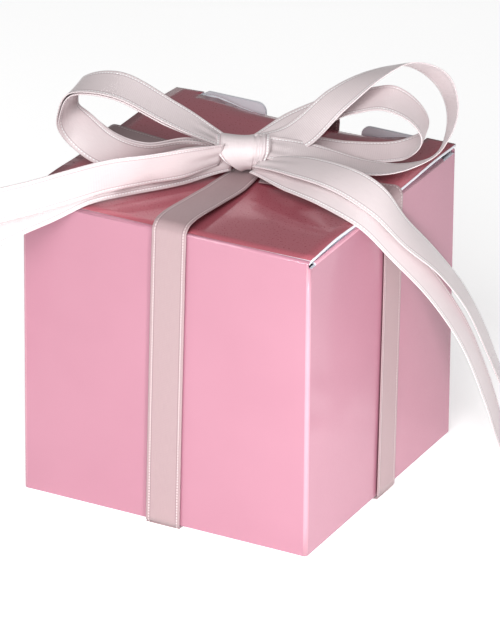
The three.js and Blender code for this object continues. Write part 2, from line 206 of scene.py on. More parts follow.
def make_satin(name, web_colour, shade_colour, thread_colour, painted_shadow_line_colour):
    """Woven satin, laid out by the ribbon's UV map: X across and Y along, in mm."""
    material, shader = start_material(name)
    uv = add_node(material, "ShaderNodeUVMap", uv_map="ribbon_mm")
    parts = add_node(material, "ShaderNodeSeparateXYZ", {"Vector": uv.outputs["UV"]})
    across = parts.outputs["X"]
    along = parts.outputs["Y"]

    # weft ribs along the ribbon, and noise that varies the shine and the colour from thread to thread
    rib_angle = add_node(material, "ShaderNodeMath", {
        0: along, 1: 2 * math.pi / rib_spacing,
    }, operation="MULTIPLY")
    rib = add_node(material, "ShaderNodeMath", {0: rib_angle.outputs[0]}, operation="SINE")
    slub = add_node(material, "ShaderNodeTexNoise", {"Vector": uv.outputs["UV"], "Scale": 2.2, "Detail": 3.0})
    thread_stretch = add_node(material, "ShaderNodeMapping", {
        "Vector": uv.outputs["UV"], "Scale": (6.0, 0.35, 1.0),
    })
    thread = add_node(material, "ShaderNodeTexNoise", {
        "Vector": thread_stretch.outputs[0], "Scale": 1.6, "Detail": 2.0,
    })

    # stitches: a narrow line near each edge, broken into dashes
    from_middle = add_node(material, "ShaderNodeMath", {0: across, 1: half_ribbon}, operation="SUBTRACT")
    out = add_node(material, "ShaderNodeMath", {0: from_middle.outputs[0]}, operation="ABSOLUTE")
    line = add_node(material, "ShaderNodeMath", {
        0: out.outputs[0], 1: stitch_place, 2: stitch_half_width,
    }, operation="COMPARE")
    dash_place = add_node(material, "ShaderNodeMath", {0: along, 1: 1 / stitch_spacing}, operation="MULTIPLY")
    dash_part = add_node(material, "ShaderNodeMath", {0: dash_place.outputs[0]}, operation="FRACT")
    dash = add_node(material, "ShaderNodeMath", {
        0: dash_part.outputs[0], 1: stitch_share,
    }, operation="LESS_THAN")
    stitch = add_node(material, "ShaderNodeMath", {
        0: line.outputs[0], 1: dash.outputs[0],
    }, operation="MULTIPLY")
    selvedge = add_node(material, "ShaderNodeMath", {
        0: out.outputs[0], 1: selvedge_place,
    }, operation="GREATER_THAN")

    # colour: two tones that vary by thread, a painted shadow line inside each line of stitches, and the
    # stitches
    base = add_node(material, "ShaderNodeMix", {
        0: thread.outputs["Fac"], 6: linear(web_colour), 7: linear(shade_colour),
    }, data_type="RGBA")
    painted_shadow_line = add_node(material, "ShaderNodeMath", {
        0: out.outputs[0], 1: painted_shadow_line_place, 2: painted_shadow_line_half_width,
    }, operation="COMPARE")
    shaded = add_node(material, "ShaderNodeMix", {
        0: painted_shadow_line.outputs[0], 6: base.outputs[2], 7: linear(painted_shadow_line_colour),
    }, data_type="RGBA")
    stitched = add_node(material, "ShaderNodeMix", {
        0: stitch.outputs[0], 6: shaded.outputs[2], 7: linear(thread_colour),
    }, data_type="RGBA")
    join(material, stitched.outputs[2], shader.inputs["Base Color"])

    # shine and relief
    rough = add_node(material, "ShaderNodeMapRange", {
        0: slub.outputs["Fac"], 1: 0.3, 2: 0.7, 3: 0.34, 4: 0.48,
    })
    join(material, rough.outputs[0], shader.inputs["Roughness"])
    rib_height = add_node(material, "ShaderNodeMath", {
        0: rib.outputs[0], 1: rib_height_share,
    }, operation="MULTIPLY")
    edge_height = add_node(material, "ShaderNodeMath", {
        0: selvedge.outputs[0], 1: selvedge_height_share, 2: rib_height.outputs[0],
    }, operation="MULTIPLY_ADD")
    height = add_node(material, "ShaderNodeMath", {
        0: stitch.outputs[0], 1: stitch_height_share, 2: edge_height.outputs[0],
    }, operation="MULTIPLY_ADD")
    bump = add_node(material, "ShaderNodeBump", {
        "Height": height.outputs[0], "Strength": 0.35, "Distance": 0.08 * MM,
    })
    join(material, bump.outputs["Normal"], shader.inputs["Normal"])
    shader.inputs["IOR"].default_value = 1.5
    shader.inputs["Anisotropic"].default_value = 0.45
    shader.inputs["Sheen Weight"].default_value = 0.25
    shader.inputs["Sheen Roughness"].default_value = 0.4
    return material


blush_satin = make_satin("blush_polyester_satin_woven",
                         web_colour="#eadfe0", shade_colour="#e0d3d5",
                         thread_colour="#ffffff", painted_shadow_line_colour="#c9babd")
# this second satin's darker colours are painted shade, as the ribbon lying on the board gets no light through
# it from behind; its pinker tint is the board showing through
strap_satin_with_painted_shade = make_satin("blush_polyester_satin_over_board_with_painted_shade",
                         web_colour="#b7a0a2", shade_colour="#ae9699",
                         thread_colour="#ddcdce", painted_shadow_line_colour="#a0888b")
print("made", blush_satin.name, "and", strap_satin_with_painted_shade.name)

# %% [markdown]
# A ribbon is one flat strip that bends and twists along a route. Each row of a route is a point of the
# ribbon's middle line and the direction across it. A smooth curve runs through the points, and a grid of
# vertices is laid along it. The grid is then thickened. Modelling the strip directly keeps its width true,
# which a cloth simulation would lose where it is gathered into the knot.

# %% Ribbon maker
tangent_reach = 0.002
gather_reach = 9 * MM
pleat_turn = 2.6
pleat_start = 0.7

# columns of the grid, as distances in mm from the ribbon's middle, closer at the selvedges
half_columns = [0.4, 0.8, 1.2, 1.6, 2.05, 2.33, 2.6, 2.85, half_ribbon]
ribbon_columns = [-column for column in reversed(half_columns)] + [0] + half_columns


def on_route(route, t):
    """The route's six numbers at t, from 0 at its start to 1 at its end, on a smooth curve."""
    spans = len(route) - 1
    span = min(int(t * spans), spans - 1)
    w = t * spans - span
    before = route[span - 1] if span > 0 else [2 * a - b for a, b in zip(route[0], route[1])]
    after = route[span + 2] if span + 2 <= spans else [2 * a - b for a, b in zip(route[-1], route[-2])]
    result = []
    for p0, p1, p2, p3 in zip(before, route[span], route[span + 1], after):
        leave = (p2 - p0) / 2
        arrive = (p3 - p1) / 2
        bend = (2 * p1 - 2 * p2 + leave + arrive) * w ** 3
        result.append(bend + (-3 * p1 + 3 * p2 - 2 * leave - arrive) * w ** 2 + leave * w + p1)
    return result


def ribbon_stations(route, steps, start=0.0, stop=1.0):
    """Middle point, direction across, face direction and distance along, at each step."""
    stations = []
    distance = 0.0
    last = None
    for i in range(steps + 1):
        t = start + (stop - start) * i / steps
        here = on_route(route, t)
        ahead = Vector(on_route(route, min(t + tangent_reach, 1.0))[:3])
        behind = Vector(on_route(route, max(t - tangent_reach, 0.0))[:3])
        tangent = (ahead - behind).normalized()
        across = Vector(here[3:])
        across = (across - across.dot(tangent) * tangent).normalized()
        place = Vector(here[:3])
        distance += (place - last).length if last is not None else 0.0
        last = place
        stations.append((place, across, across.cross(tangent), distance))
    return stations


def make_ribbon(name, route, nodes, body, steps, start=0.0, stop=1.0, gather=(1.0, 1.0), pleats=(0.0, 0.0),
                cup=0.0, shift=0.0, satin=blush_satin):
    """A thin satin strip along a route, from start to stop as shares of it.

    Gather narrows each end and pleats fold it into ridges. Cup lifts the middle over the edges, and
    shift moves the whole strip off its route, towards its face.
    """
    stations = ribbon_stations(route, steps, start, stop)
    length = stations[-1][3]
    mesh = bmesh.new()
    uv_layer = mesh.loops.layers.uv.new("ribbon_mm")
    rows = []
    for place, across, face, distance in stations:
        near_start = 1 - smooth_step(distance, gather_reach)
        near_end = 1 - smooth_step(length - distance, gather_reach)
        narrow = 1 - (1 - gather[0]) * near_start - (1 - gather[1]) * near_end
        ridge = pleats[0] * near_start + pleats[1] * near_end
        row = []
        for column in ribbon_columns:
            fold = ridge * math.sin(column * pleat_turn + pleat_start)
            curl = cup * (1 - (column / half_ribbon) ** 2)
            offset = face * (fold + curl + shift)
            row.append(mesh.verts.new(place + across * column * MM * narrow + offset))
        rows.append(row)
    for i in range(len(rows) - 1):
        for j in range(len(ribbon_columns) - 1):
            corners = (rows[i][j], rows[i][j + 1], rows[i + 1][j + 1], rows[i + 1][j])
            marks = ((i, j), (i, j + 1), (i + 1, j + 1), (i + 1, j))
            quad = mesh.faces.new(corners)
            quad.smooth = True
            for loop, (row_at, column_at) in zip(quad.loops, marks):
                loop[uv_layer].uv = (ribbon_columns[column_at] + half_ribbon, stations[row_at][3] / MM)
    piece = mesh_piece(name, mesh)
    piece.data.materials.append(satin)
    thicken = piece.modifiers.new("cloth thickness", "SOLIDIFY")
    thicken.thickness = ribbon_thick
    thicken.offset = 0
    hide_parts(*nodes)
    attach(piece, body)
    print(f"{name}: {1000 * length:.0f} mm")
    return piece, [station[0] for station in stations]


def above_lid(route):
    """The same route with its heights measured from the floor, not from the lid's top."""
    return [(x, y, z + lid_top, *across) for x, y, z, *across in route]


# %% [markdown]
# The four tails are free lengths of ribbon, so they are made first. Each comes out of the knot, runs out
# over the lid, falls past the box and ends flat on the table. Heights are measured from the lid's top.

# %% Tails
tail_left_front_route = [
    (0, -0.004, 0.0046, -0.2, 0.2, -0.9),
    (-0.0034, -0.0116, 0.0051, -0.2, 0.2, -1),
    (-0.0076, -0.0168, 0.0051, -0.2, 0.2, -1),
    (-0.0119, -0.022, 0.0051, -0.1, 0.1, -1),
    (-0.0153, -0.0281, 0.005, 0, 0.1, -1),
    (-0.0189, -0.0337, 0.0046, 0, 0.1, -1),
    (-0.0232, -0.0384, 0.0039, 0, 0.1, -1),
    (-0.0286, -0.0416, 0.0023, -0.2, 0.3, -0.9),
    (-0.0365, -0.0424, -0.0033, -0.5, 0.6, -0.6),
    (-0.043, -0.042, -0.013, -0.4, 0.8, -0.1),
    (-0.047, -0.043, -0.026, -0.2, 0.9, 0),
    (-0.05, -0.044, -0.039, -0.1, 1, 0),
    (-0.054, -0.045, -0.0485, -0.1, 1, 0),
    (-0.061, -0.046, -0.0512, -0.1, 1, 0),
    (-0.068, -0.047, -0.0512, -0.1, 1, 0),
]
tail_left_rear_route = [
    (0.0006, -0.0022, 0.0033, 0.2, 0.1, -1),
    (-0.0034, -0.0079, 0.0036, 0.2, 0.1, -1),
    (-0.0068, -0.0131, 0.0036, 0.1, 0, -1),
    (-0.0107, -0.0183, 0.0036, 0.1, 0, -1),
    (-0.0148, -0.0238, 0.0034, 0.2, 0, -1),
    (-0.0188, -0.029, 0.0015, 0.2, 0, -1),
    (-0.0229, -0.034, -0.0003, 0.2, 0, -1),
    (-0.0271, -0.0382, -0.0034, 0, 0.4, -0.9),
    (-0.0312, -0.0433, -0.0092, -0.3, 0.7, -0.6),
    (-0.034, -0.048, -0.018, -0.4, 0.9, -0.1),
    (-0.037, -0.05, -0.03, -0.4, 0.9, 0),
    (-0.04, -0.052, -0.0415, -0.4, 0.9, 0),
    (-0.044, -0.0545, -0.0495, -0.4, 0.9, 0),
    (-0.051, -0.058, -0.0512, -0.4, 0.9, 0),
    (-0.058, -0.061, -0.0512, -0.4, 0.9, 0),
]
tail_right_outer_route = [
    (0.0036, -0.0029, 0.0035, -0.2, -1, -0.1),
    (0.0124, -0.0039, 0.0049, -0.2, -1, -0.2),
    (0.0208, -0.005, 0.0048, -0.2, -0.95, -0.3),
    (0.0268, -0.0049, 0.0023, 0.1, -0.9, -0.4),
    (0.03, -0.0019, -0.0033, 0.35, -0.85, -0.4),
    (0.0327, 0.0039, -0.01, 0.5, -0.8, -0.3),
    (0.0348, 0.0101, -0.0183, 0.5, -0.8, -0.3),
    (0.036, 0.0155, -0.0275, 0.45, -0.8, -0.35),
    (0.0372, 0.0195, -0.036, 0.5, -0.8, -0.3),
    (0.039, 0.023, -0.0435, 0.6, -0.8, -0.2),
    (0.0425, 0.0265, -0.0495, 0.7, -0.7, 0),
    (0.0485, 0.03, -0.0512, 0.6, -0.8, 0),
    (0.055, 0.033, -0.0512, 0.5, -0.9, 0),
]
tail_right_inner_route = [
    (0.0033, -0.0024, 0.0028, -0.3, -0.9, -0.3),
    (0.0118, -0.005, 0.0031, -0.2, -0.95, -0.3),
    (0.019, -0.0069, 0.0031, -0.1, -0.95, -0.4),
    (0.0258, -0.0073, 0.0009, 0.1, -0.9, -0.4),
    (0.0293, -0.0038, -0.005, 0.2, -0.9, -0.4),
    (0.033, 0.002, -0.0135, 0.3, -0.9, -0.4),
    (0.0363, 0.0073, -0.0235, 0.3, -0.9, -0.3),
    (0.0383, 0.0118, -0.0345, 0.3, -0.9, -0.3),
    (0.0398, 0.015, -0.044, 0.3, -0.95, -0.2),
    (0.043, 0.0165, -0.05, 0.2, -1, 0),
    (0.0495, 0.0172, -0.0512, 0.1, -1, 0),
    (0.057, 0.0178, -0.0512, 0.1, -1, 0),
    (0.064, 0.0185, -0.0512, 0.1, -1, 0),
]

tails = [
    ("tail_left_front", tail_left_front_route, 0.120),
    ("tail_left_rear", tail_left_rear_route, 0.113),
    ("tail_right_outer", tail_right_outer_route, 0.101),
    ("tail_right_inner", tail_right_inner_route, 0.104),
]
tail_start = 0.012
tail_gather = (0.72, 1.0)
tail_pleats = (0.12 * MM, 0.0)
tail_cup = 0.12 * MM
for tail_name, tail_route, tail_length in tails:
    piece, line = make_ribbon(tail_name + "_satin", above_lid(tail_route), [tail_name], "ribbon", steps=160,
                              start=tail_start, gather=tail_gather, pleats=tail_pleats, cup=tail_cup)

# %% [markdown]
# Each loop is a strand that leaves the knot, turns over and comes back. The ribbon is doubled: the left
# loop has a second ribbon lying just inside it, and the right side has a large loop and a small one.

# %% Loops
loop_left_route = [
    (0, -0.0026, 0.0052, 0.4, -0.9, 0),
    (-0.009, -0.0065, 0.0105, 0.2, -0.9, -0.2),
    (-0.017, -0.009, 0.0145, 0.2, -0.9, -0.3),
    (-0.024, -0.01, 0.0135, 0.1, -1, -0.1),
    (-0.026, -0.01, 0.009, 0, -1, -0.1),
    (-0.024, -0.01, 0.0062, -0.3, -0.8, -0.5),
    (-0.018, -0.011, 0.0042, -0.3, -0.2, -0.9),
    (-0.012, -0.0096, 0.0038, -0.3, 0.3, -0.9),
    (-0.0065, -0.0052, 0.0046, -0.2, 0.5, -0.8),
    (-0.001, -0.0024, 0.0042, -0.2, 0.5, -0.8),
]
loop_right_outer_route = [
    (0.0022, -0.0002, 0.0049, 0.8, -0.4, -0.4),
    (0.0075, 0.0045, 0.0058, 0.8, -0.4, -0.3),
    (0.012, 0.0095, 0.011, 0.8, -0.6, -0.2),
    (0.0165, 0.0145, 0.0145, 0.7, -0.7, 0.2),
    (0.0205, 0.0185, 0.0155, 0.6, -0.7, 0.5),
    (0.025, 0.0205, 0.013, 0.6, -0.5, 0.6),
    (0.0275, 0.0195, 0.008, 0.6, -0.6, 0.5),
    (0.0275, 0.0155, 0.0035, 0.5, -0.7, 0.5),
    (0.0246, 0.0106, 0.0021, 0.6, -0.7, 0.3),
    (0.0198, 0.006, 0.0024, 0.6, -0.8, 0),
    (0.0127, 0.0025, 0.0041, 0.5, -0.8, -0.2),
    (0.0029, -0.0016, 0.0057, 0.4, -0.8, -0.5),
]
loop_right_inner_route = [
    (0.0018, 0.0005, 0.0041, 0.7, -0.5, -0.4),
    (0.0065, 0.008, 0.0064, 0.6, -0.6, -0.4),
    (0.0105, 0.012, 0.0085, 0.4, -0.8, -0.3),
    (0.0145, 0.013, 0.01, 0.2, -0.9, -0.3),
    (0.0195, 0.013, 0.0115, 0.1, -0.9, -0.3),
    (0.024, 0.0135, 0.0095, 0.2, -1, -0.1),
    (0.0255, 0.0135, 0.006, 0.3, -0.9, 0),
    (0.0208, 0.014, 0.0024, 0.5, -0.8, -0.1),
    (0.0142, 0.0099, 0.0023, 0.5, -0.8, -0.2),
    (0.0092, 0.005, 0.0036, 0.5, -0.8, -0.4),
    (0.0026, -0.0013, 0.004, 0.4, -0.7, -0.5),
]

# each row: name, route, steps, start and stop on the route, and the shift off it
lining_shift = 0.45 * MM
loops = [
    ("left", loop_left_route, 140, 0.0, 1.0, 0.0),
    ("left_lining", loop_left_route, 140, 0.03, 0.97, lining_shift),
    ("right_outer", loop_right_outer_route, 160, 0.0, 1.0, 0.0),
    ("right_inner", loop_right_inner_route, 140, 0.0, 1.0, 0.0),
]
loop_gather = (0.7, 0.7)
loop_pleats = (0.14 * MM, 0.14 * MM)
loop_cup = 0.1 * MM
for loop_name, loop_route, loop_steps, loop_start, loop_stop, loop_shift in loops:
    make_ribbon(f"loop_{loop_name}_satin", above_lid(loop_route), [f"bow_loop_{loop_name}"], "ribbon",
                steps=loop_steps, start=loop_start, stop=loop_stop, gather=loop_gather, pleats=loop_pleats,
                cup=loop_cup, shift=loop_shift)

# %% [markdown]
# The straps run up the middle of each side, turn over the lid's edge in a small radius and pass on to the
# knot. They are pulled tight, so they lie close to the board and lift a little just behind the edge.

# %% Straps
outside_right = half_width + gap + ribbon_thick / 2
outside_back = half_depth + gap + ribbon_thick / 2
outside_front = -outside_back
on_lid = gap + ribbon_thick / 2
strap_foot = 0.45 * MM

strap_front_route = [
    (0, outside_front, strap_foot, 1, 0, 0),
    (0.0003, outside_front, 0.018, 1, 0, 0),
    (0.0007, outside_front, 0.038, 1, 0, 0),
    (0.00095, outside_front, lid_top - 0.0025, 1, 0, 0),
    (0.001, outside_front + 0.0004, lid_top + 0.0005, 1, 0, 0),
    (0.0011, -0.0225, lid_top + 0.0014, 1, 0, 0),
    (0.0014, -0.015, lid_top + 0.001, 1, 0, 0),
    (0.0017, -0.008, lid_top + 0.0006, 1, 0, 0),
    (0.0017, 0.0005, lid_top + 0.0006, 1, 0, 0),
]
strap_back_route = [
    (0.0004, outside_back, strap_foot, -1, 0, 0),
    (0.0005, outside_back, 0.018, -1, 0, 0),
    (0.0008, outside_back, 0.038, -1, 0, 0),
    (0.0012, outside_back, lid_top - 0.003, -1, 0, 0),
    (0.0013, outside_back, lid_top - 0.0006, -1, 0, 0),
    (0.0014, outside_back - 0.0008, lid_top + 0.0005, -1, 0, 0),
    (0.0016, outside_back - 0.003, lid_top + 0.0006, -1, 0, 0),
    (0.0018, 0.01, lid_top + on_lid, -1, 0, 0),
    (0.0016, 0.0002, lid_top + on_lid, -1, 0, 0),
]
strap_right_route = [
    (outside_right, 0.0015, strap_foot, 0, 1, 0),
    (outside_right, 0.002, 0.018, 0, 1, 0),
    (outside_right, 0.0025, 0.038, 0, 1, 0),
    (outside_right, 0.0025, lid_top - 0.003, 0, 1, 0),
    (outside_right, 0.0025, lid_top - 0.0006, 0, 1, 0),
    (outside_right - 0.0008, 0.0024, lid_top + 0.0005, 0, 1, 0),
    (outside_right - 0.003, 0.0021, lid_top + 0.0006, 0, 1, 0),
    (0.012, 0.0003, lid_top + on_lid, 0, 1, 0),
    (0.0045, -0.0012, lid_top + on_lid, 0, 1, 0),
]
strap_left_route = [
    (-outside_right, 0.001, strap_foot, 0, -1, 0),
    (-outside_right, 0.001, 0.018, 0, -1, 0),
    (-outside_right, 0.001, 0.038, 0, -1, 0),
    (-outside_right, 0.001, lid_top - 0.002, 0, -1, 0),
    (-outside_right + 0.0003, 0.001, lid_top + 0.0008, 0, -1, 0),
    (-0.021, 0.0008, lid_top + 0.0008, 0, -1, 0),
    (-0.01, 0, lid_top + on_lid, 0, -1, 0),
    (-0.002, -0.0014, lid_top + on_lid, 0, -1, 0),
]
straps = [
    ("front", strap_front_route),
    ("back", strap_back_route),
    ("right", strap_right_route),
    ("left", strap_left_route),
]
for side_name, strap_route in straps:
    make_ribbon(f"strap_{side_name}_satin", strap_route, [f"ribbon_strap_{side_name}"], "ribbon", steps=130,
                gather=(1.0, 0.8), satin=strap_satin_with_painted_shade)

# %% [markdown]
# Under the base the ribbon crosses itself. One strip goes right across and the other passes in two short
# lengths, which the box presses flat against the table.

# %% Ribbon under the base
under_end = half_width + gap
under_height = ribbon_thick
under_centre = {"left": 0.001, "right": 0.0015}
make_ribbon("under_front_back_satin", [
    (0, -under_end, under_height, 1, 0, 0),
    (0, 0, under_height, 1, 0, 0),
    (0, under_end, under_height, 1, 0, 0),
], ["ribbon_under_front_back"], "carton", steps=40, satin=strap_satin_with_painted_shade)
for side_name, side in (("left", -1), ("right", 1)):
    make_ribbon(f"under_{side_name}_satin", [
        (side * under_end, under_centre[side_name], under_height, 0, side, 0),
        (side * 0.015, under_centre[side_name], under_height, 0, side, 0),
        (side * (ribbon_width / 2 + gap), under_centre[side_name], under_height, 0, side, 0),
    ], [f"ribbon_under_{side_name}"], "carton", steps=24, satin=strap_satin_with_painted_shade)

# %% [markdown]
# The knot is a short length of the same ribbon wrapped once round the middle of the bow and pulled tight,
# so its width is gathered into pleats that run round it. It is made as a ring of cross-sections along the
# bow's direction, with grooves in its radius, a pinched front and ends that roll in.

# %% Knot
knot_centre = Vector((0.0013, -0.0018, lid_top + 0.0041))
knot_length = 9.4 * MM
knot_radius = 2.9 * MM
bow_turn = math.radians(26)
knot_axis = Vector((math.cos(bow_turn), math.sin(bow_turn), 0))
knot_side = Vector((math.sin(bow_turn), -math.cos(bow_turn), 0))

# places along the knot run from -1 to 1, from end to end
roll_start = 0.82
roll_length = 0.18
roll_in = 0.5
roll_shorten = 0.06
knot_waist = 0.06
groove_places = (-0.84, 0.38, 0.56, 0.76)
groove_half_width = 0.055
groove_depth = 0.34 * MM
groove_lean = 0.05
pinch_angle = -75
pinch_reach = 110
pinch_share = 0.7
pinch_shift = 0.9 * MM


def knot_profile(s, angle):
    """Radius and distance along the axis for s from -1 to 1 and an angle round the knot."""
    ends = max(0.0, abs(s) - roll_start) / roll_length
    radius = knot_radius * (1.0 - roll_in * ends ** 2) * (1 - knot_waist * math.cos(math.pi * s))
    lean = groove_lean * math.sin(angle + 0.6)
    for place in groove_places:
        groove = math.exp(-((s - place - lean) / groove_half_width) ** 2)
        radius -= groove_depth * groove * (0.75 + 0.25 * math.sin(2 * angle + 9 * place))
    from_pinch = abs((math.degrees(angle) - pinch_angle + 180) % 360 - 180)
    pinched = 1 - smooth_step(from_pinch, pinch_reach)
    pinch = 1 - pinch_share * pinched
    return radius, knot_length / 2 * (1 - roll_shorten * ends) * s * pinch + pinch_shift * pinched


knot_mesh = bmesh.new()
knot_uv = knot_mesh.loops.layers.uv.new("ribbon_mm")
knot_steps_along = 96
knot_steps_round = 96
round_mm = 2 * math.pi * knot_radius / MM / knot_steps_round
knot_rings = []
for i in range(knot_steps_along + 1):
    s = -1 + 2 * i / knot_steps_along
    ring = []
    for j in range(knot_steps_round):
        angle = 2 * math.pi * j / knot_steps_round
        radius, along_axis = knot_profile(s, angle)
        outward = knot_side * math.cos(angle) + Vector((0, 0, 1)) * math.sin(angle)
        ring.append(knot_mesh.verts.new(knot_centre + knot_axis * along_axis + outward * radius))
    knot_rings.append(ring)
for i in range(knot_steps_along):
    for j in range(knot_steps_round):
        following = (j + 1) % knot_steps_round
        quad = knot_mesh.faces.new((knot_rings[i][j], knot_rings[i + 1][j],
                                    knot_rings[i + 1][following], knot_rings[i][following]))
        quad.smooth = True
        marks = ((i, j), (i + 1, j), (i + 1, j + 1), (i, j + 1))
        for loop, (row_at, step_at) in zip(quad.loops, marks):
            loop[knot_uv].uv = (2 * half_ribbon * row_at / knot_steps_along, step_at * round_mm)
for ring in (knot_rings[0], list(reversed(knot_rings[-1]))):
    knot_mesh.faces.new(ring)
bmesh.ops.recalc_face_normals(knot_mesh, faces=knot_mesh.faces)
knot = mesh_piece("knot_satin", knot_mesh)
knot.data.materials.append(blush_satin)
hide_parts("ribbon_knot")
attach(knot, "ribbon")
print("knot:", len(knot.data.polygons), "faces")

# %% [markdown]
# The carton is folding boxboard. Its outside is printed pink under a thin gloss coating, which gives a
# sharp weak reflection over a soft one. Its inside and its cut edges are bare white fibre, dull and a
# little uneven. The fibre is about 0.05 mm across and is drawn at 0.3 mm, so that it can be seen. The lid
# and its tuck flap are glossier than the pink and are drawn in a darker, deeper rose, which is painted
# shade for the lid's top, as it gets less light than the sides. The scored folds at the upright edges
# and at the dust flaps are a little paler.

# %% Boxboard
fibre_size = 0.3 * MM
cloud_scale = 60.0
roughness_spread = 0.04
board_relief = 0.03 * MM


def make_board(name, web_colour, second_colour, roughness, coat, grain):
    """Printed or bare board: two close colours in soft clouds, and fine fibre in its shine and relief."""
    material, shader = start_material(name)
    place = add_node(material, "ShaderNodeTexCoord")
    cloud = add_node(material, "ShaderNodeTexNoise", {
        "Vector": place.outputs["Object"], "Scale": cloud_scale, "Detail": 2.0,
    })
    fibre = add_node(material, "ShaderNodeTexNoise", {
        "Vector": place.outputs["Object"], "Scale": 1 / fibre_size, "Detail": 3.0,
    })
    cloudy = add_node(material, "ShaderNodeMapRange", {
        0: cloud.outputs["Fac"], 1: 0.35, 2: 0.65, 3: 0.0, 4: 1.0,
    })
    colour = add_node(material, "ShaderNodeMix", {
        0: cloudy.outputs[0], 6: linear(web_colour), 7: linear(second_colour),
    }, data_type="RGBA")
    join(material, colour.outputs[2], shader.inputs["Base Color"])
    rough = add_node(material, "ShaderNodeMapRange", {
        0: fibre.outputs["Fac"], 1: 0.3, 2: 0.7,
        3: roughness - roughness_spread, 4: roughness + roughness_spread,
    })
    join(material, rough.outputs[0], shader.inputs["Roughness"])
    bump = add_node(material, "ShaderNodeBump", {
        "Height": fibre.outputs["Fac"], "Strength": grain, "Distance": board_relief,
    })
    join(material, bump.outputs["Normal"], shader.inputs["Normal"])
    shader.inputs["IOR"].default_value = 1.5
    shader.inputs["Coat Weight"].default_value = coat
    shader.inputs["Coat Roughness"].default_value = 0.12
    return material


pink_board = make_board("gloss_coated_pink_boxboard", "#ba8495", "#bd8798",
                        roughness=0.42, coat=0.5, grain=0.12)
crease_board = make_board("scored_crease_of_pink_boxboard", "#cb97a6", "#d09dab",
                          roughness=0.5, coat=0.3, grain=0.25)
# the lid's darker, deeper rose is painted shade for its top, which gets less light than the sides
shade_painted_lid_board = make_board("gloss_coated_boxboard_darkened_as_painted_shade", "#bf6d79", "#ba6975",
                       roughness=0.3, coat=1.0, grain=0.12)
white_board = make_board("bare_white_boxboard", "#e6e6ec", "#dcdde4",
                         roughness=0.85, coat=0.0, grain=0.35)
print("board materials made")


# %% [markdown]
# The walls, the lid, its tuck flap and the creases are sheets, each modelled as its outer surface and then
# thickened inwards. The outer face takes the print, the inner face and the cut rims take the white, just
# as the real blank is printed on one side and then cut.

# %% Sheet maker
# the order of a sheet's materials
outside_index = 0
white_index = 1
crease_index = 2


def finish_board(piece, nodes, outside=pink_board, thickness=board):
    """Gives a sheet its materials and thickness, and hides the imported solids that it stands for."""
    for material in (outside, white_board, crease_board):
        piece.data.materials.append(material)
    thicken = piece.modifiers.new("board thickness", "SOLIDIFY")
    thicken.thickness = thickness
    thicken.offset = -1
    thicken.use_even_offset = True
    thicken.material_offset = white_index
    thicken.material_offset_rim = white_index
    if nodes:
        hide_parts(*nodes)


# %% [markdown]
# The four walls are one sleeve, so they are made as one sheet that goes round the box, with small rounded
# folds at the upright edges. Its top follows each side: up to the lid's crease in front, down to the dust
# flaps' creases at the sides, and round the thumb notch at the back. The notch here is 7 mm deep, where the
# solids' notch is 8.5 mm, so its edge stands up to 1.6 mm too high.

# %% Sleeve
turn_steps = 6
bowl_steps = 12
levels = 8
fold_radius = 0.6 * MM
side_top = right_high[2]
back_shoulder = lid_underside - gap
raised_edge = back_high[2]
notch_half = 8.7 * MM
notch_depth = 7 * MM
notch_floor = raised_edge - notch_depth
notch_corner = 1.5 * MM
notch_bowl = 3.5 * MM
raised_half = 19.2 * MM
shoulder_half = 20.3 * MM


def back_profile():
    """Points (x, z) along the back panel's top edge, from its +X end to its middle."""
    points = [
        (half_width - fold_radius, back_shoulder),
        (shoulder_half, back_shoulder),
        (raised_half, raised_edge),
    ]
    for i in range(turn_steps + 1):
        corner_turn = math.pi / 2 * i / turn_steps
        points.append((notch_half + notch_corner * (1 - math.sin(corner_turn)),
                       raised_edge - notch_corner * (1 - math.cos(corner_turn))))
    for i in range(1, bowl_steps + 1):
        bowl_turn = math.pi / 2 * i / bowl_steps
        points.append((notch_half * math.cos(bowl_turn),
                       notch_floor + notch_bowl * (1 - math.sin(bowl_turn))))
    return points


right_half_profile = back_profile()
full_back_profile = right_half_profile + [(-x, z) for x, z in reversed(right_half_profile[:-1])]

# one column for each place round the sleeve: x, y, the height of its top, and whether it lies in a fold
columns = []


def add_corner(centre_x, centre_y, start_degrees, z_before, z_after):
    """Adds the columns of one rounded fold, whose top steps from one side's height to the next."""
    for i in range(turn_steps + 1):
        corner_turn = math.radians(start_degrees + 90 * i / turn_steps)
        x = centre_x + fold_radius * math.cos(corner_turn)
        y = centre_y + fold_radius * math.sin(corner_turn)
        columns.append((x, y, z_before if i < turn_steps / 2 else z_after, True))


flat_end = half_width - fold_radius
add_corner(flat_end, -flat_end, -90, lid_underside, side_top)
add_corner(flat_end, flat_end, 0, side_top, back_shoulder)
columns += [(x, half_depth, z, False) for x, z in full_back_profile[1:-1]]
add_corner(-flat_end, flat_end, 90, back_shoulder, side_top)
add_corner(-flat_end, -flat_end, 180, side_top, lid_underside)

sleeve_mesh = bmesh.new()
sleeve_rows = []
for x, y, top, _ in columns:
    sleeve_rows.append([sleeve_mesh.verts.new((x, y, wall_foot + (top - wall_foot) * level / levels))
                        for level in range(levels + 1)])
for i in range(len(columns)):
    following = (i + 1) % len(columns)
    apart = (Vector(columns[i][:2]) - Vector(columns[following][:2])).length
    bent = columns[i][3] and columns[following][3] and apart < MM
    for level in range(levels):
        quad = sleeve_mesh.faces.new((sleeve_rows[i][level], sleeve_rows[following][level],
                                      sleeve_rows[following][level + 1], sleeve_rows[i][level + 1]))
        quad.smooth = bent
        quad.material_index = crease_index if bent else outside_index
bmesh.ops.recalc_face_normals(sleeve_mesh, faces=sleeve_mesh.faces)
sleeve = mesh_piece("sleeve_board", sleeve_mesh)
finish_board(sleeve, ["front_panel", "left_panel", "right_panel", "back_panel"])
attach(sleeve, "carton")
print("sleeve:", len(columns), "columns")

# %% [markdown]
# The lid is not quite flat. The ribbon presses its middle down and its free edges spring up a little, so
# its raw white edge shows as a thin light line over a dark gap. The sheet is a grid, so that it can bend.

